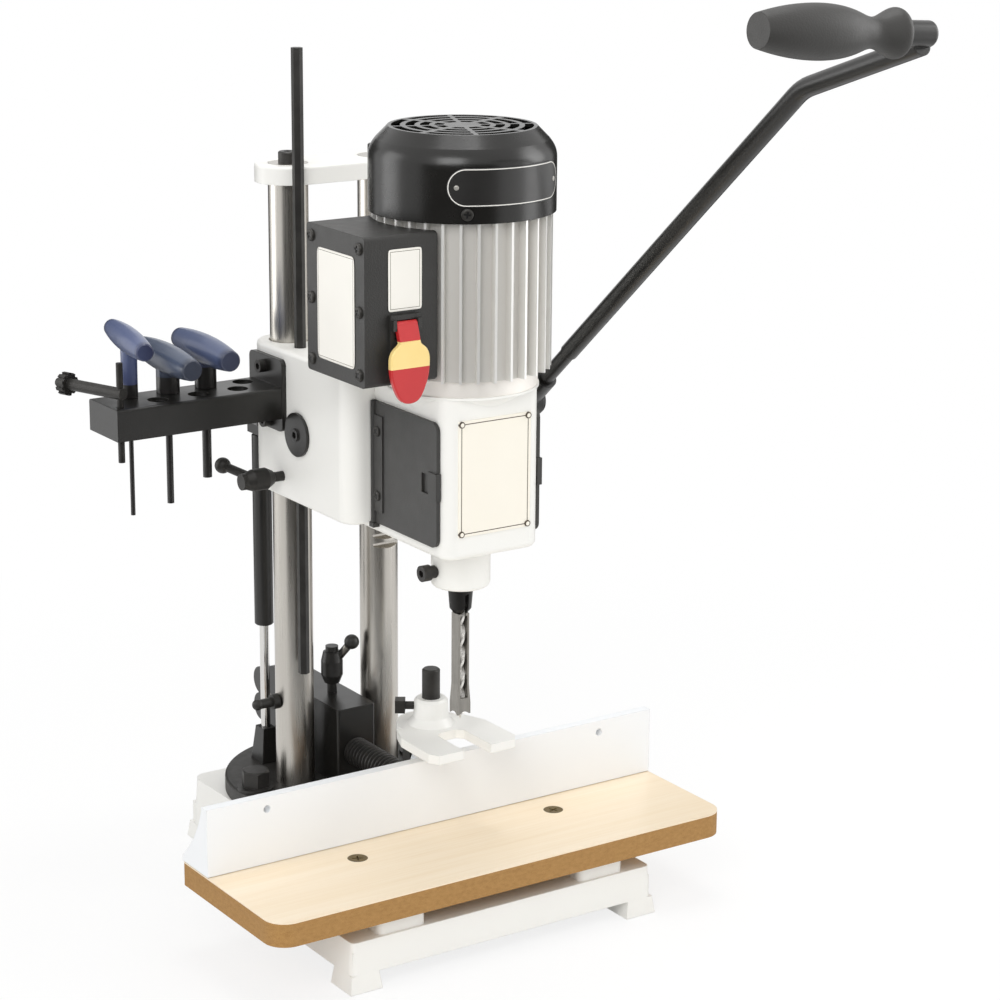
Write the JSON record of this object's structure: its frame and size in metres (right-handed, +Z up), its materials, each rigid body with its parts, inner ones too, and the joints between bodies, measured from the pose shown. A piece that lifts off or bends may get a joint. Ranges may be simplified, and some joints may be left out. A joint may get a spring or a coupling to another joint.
{
  "type": "mortiser",
  "caption": "Bench hollow-chisel mortiser: motor head on twin columns fed by a long lever, chisel over a fenced table, hold-down fork, tool holder, cast base.",
  "frame": {"origin": "midway between the two front bench bolt holes, at bench level", "axes": "+X to the operator's right along the table, +Y from the operator towards the columns, +Z up along the columns"},
  "size_m": [0.4448, 0.6343, 0.7485],
  "materials": {
    "cream_paint": "warm white powder coat on castings",
    "black_paint": "satin black coated metal",
    "black_steel": "black oxide steel",
    "column_steel": "ground steel",
    "tool_steel": "hardened tool steel",
    "chrome_rod": "polished gas spring rod",
    "bronze": "bearing bronze",
    "screw_brass": "dull plated steel",
    "alloy": "bright cast alloy",
    "core_iron": "laminated core",
    "black_plastic": "fine grained black plastic",
    "red_plastic": "red paddle with a yellow middle",
    "blue_plastic": "clear dark blue handles",
    "plate": "blank cream plate",
    "laminate": "pale maple laminate",
    "board": "brown fibreboard"
  },
  "bodies": {
    "base": {"base": "cream_paint", "table_core": "board", "table_laminate": "laminate", "table_screws": "screw_brass", "column_flange": "black_paint", "flange_bolts": "black_steel", "column_left": "column_steel", "column_right": "column_steel", "column_cap": "cream_paint", "cap_screws": "black_steel", "gas_foot": "black_paint", "gas_rod": "chrome_rod", "fence_block": "black_paint"},
    "head": {"head_casting": "cream_paint", "guide_bushes": "bronze", "motor_bell": "alloy", "motor_housing": "alloy", "motor_stator": "core_iron", "motor_shield": "alloy", "motor_bearings": "column_steel", "fan_cover": "black_paint", "switch_case": "black_plastic", "switch_cover": "black_plastic", "switch_body": "black_plastic", "head_screws": "black_steel", "name_plate": "plate", "chisel": "tool_steel", "gas_cylinder": "black_paint", "gas_bracket": "black_paint", "tool_holder": "black_paint", "door_hinges": "black_plastic"},
    "spindle": {"rotor": "column_steel", "fan": "black_plastic", "chuck": "tool_steel", "auger": "tool_steel"},
    "lever": {"pinion_shaft": "column_steel", "shaft_disc": "black_paint", "lever_hub": "black_paint", "lever_arm": "black_paint"},
    "grip": {"lever_grip": "black_plastic"},
    "left_door": {"door_left": "black_plastic"},
    "right_door": {"door_right": "black_plastic"},
    "paddle": {"switch_paddle": "red_plastic"},
    "chisel_clamp": {"chisel_screw": "black_steel"},
    "depth_stop": {"depth_rod": "black_paint"},
    "depth_clamp": {"depth_lock": "black_steel"},
    "small_key": {"key_small": "blue_plastic"},
    "middle_key": {"key_middle": "blue_plastic"},
    "large_key": {"key_large": "blue_plastic"},
    "chuck_wrench": {"chuck_key": "black_steel"},
    "pull_pin": {"column_pin": "black_steel"},
    "fence": {"fence": "cream_paint", "fence_rack": "black_steel", "holddown_post": "black_steel"},
    "post_clamp": {"post_screw": "black_steel"},
    "hold_down": {"holddown": "cream_paint"},
    "hold_down_clamp": {"holddown_screw": "black_steel"},
    "fence_feed": {"fence_pinion": "column_steel", "fence_knob": "black_plastic"},
    "fence_clamp": {"fence_lock": "black_steel"}
  },
  "joints": [
    {"name": "head_slide", "type": "slide", "parent": "base", "child": "head", "axis": [0, 0, 1], "range_m": [-0.054, 0.045], "stiffness_N_per_m": 400, "springref_m": 0.85},
    {"name": "lever_turn", "type": "hinge", "parent": "head", "child": "lever", "pos_m": [0, 0.1855, 0.381], "axis": [1, 0, 0], "range_deg": [-58, 69.5]},
    {"name": "grip_turn", "type": "hinge", "parent": "lever", "child": "grip", "pos_m": [0.1485, -0.27284, 0.72372], "axis": [0.9978, 0, -0.0663], "continuous": true},
    {"name": "spindle_turn", "type": "hinge", "parent": "head", "child": "spindle", "pos_m": [0, 0.0553, 0.4], "axis": [0, 0, 1], "continuous": true},
    {"name": "left_door_swing", "type": "hinge", "parent": "head", "child": "left_door", "pos_m": [-0.046, 0.1067, 0.37], "axis": [0, 0, -1], "range_deg": [0, 90]},
    {"name": "right_door_swing", "type": "hinge", "parent": "head", "child": "right_door", "pos_m": [0.046, 0.1067, 0.37], "axis": [0, 0, 1], "range_deg": [0, 90]},
    {"name": "paddle_lift", "type": "hinge", "parent": "head", "child": "paddle", "pos_m": [-0.0796, 0.0068, 0.503], "axis": [-1, 0, 0], "range_deg": [0, 65], "stiffness_Nm_per_rad": 0.05},
    {"name": "chisel_clamp_turn", "type": "hinge", "parent": "head", "child": "chisel_clamp", "pos_m": [-0.03, 0.0553, 0.2953], "axis": [1, 0, 0], "range_deg": [0, 180]},
    {"name": "depth_stop_slide", "type": "slide", "parent": "head", "child": "depth_stop", "axis": [0, 0, 1], "range_m": [-0.04, 0.04]},
    {"name": "depth_clamp_turn", "type": "hinge", "parent": "head", "child": "depth_clamp", "pos_m": [-0.07, 0.212, 0.3415], "axis": [1, 0, 0], "range_deg": [-70, 60]},
    {"name": "small_key_lift", "type": "slide", "parent": "head", "child": "small_key", "axis": [0, 0, 1], "range_m": [0, 0.095]},
    {"name": "middle_key_lift", "type": "slide", "parent": "head", "child": "middle_key", "axis": [0, 0, 1], "range_m": [0, 0.09]},
    {"name": "large_key_lift", "type": "slide", "parent": "head", "child": "large_key", "axis": [0, 0, 1], "range_m": [0, 0.075]},
    {"name": "chuck_wrench_lift", "type": "slide", "parent": "head", "child": "chuck_wrench", "axis": [0, 0, 1], "range_m": [0, 0.05]},
    {"name": "pull_pin_slide", "type": "slide", "parent": "base", "child": "pull_pin", "axis": [-1, 0, 0], "range_m": [0, 0.008]},
    {"name": "fence_slide", "type": "slide", "parent": "base", "child": "fence", "axis": [0, 1, 0], "range_m": [-0.01, 0.055]},
    {"name": "post_clamp_turn", "type": "hinge", "parent": "fence", "child": "post_clamp", "pos_m": [0, 0.12, 0.1186], "axis": [0, 1, 0], "range_deg": [0, 180]},
    {"name": "hold_down_slide", "type": "slide", "parent": "fence", "child": "hold_down", "axis": [0, 0, 1], "range_m": [-0.017, 0.02]},
    {"name": "hold_down_clamp_turn", "type": "hinge", "parent": "hold_down", "child": "hold_down_clamp", "pos_m": [-0.01658, 0.10868, 0.1695], "axis": [0.829, -0.5592, 0], "range_deg": [0, 180]},
    {"name": "fence_feed_turn", "type": "hinge", "parent": "base", "child": "fence_feed", "pos_m": [0, 0.31, 0.1163], "axis": [1, 0, 0], "range_deg": [-48, 263]},
    {"name": "fence_clamp_turn", "type": "hinge", "parent": "base", "child": "fence_clamp", "pos_m": [0.002, 0.256, 0.15], "axis": [0, 0, 1], "range_deg": [-70, 15]}
  ],
  "couplings": [
    {"joint": "lever_turn", "follows": "head_slide", "rad_per_m": -22.222},
    {"joint": "fence_feed_turn", "follows": "fence_slide", "rad_per_m": 83.333}
  ]
}
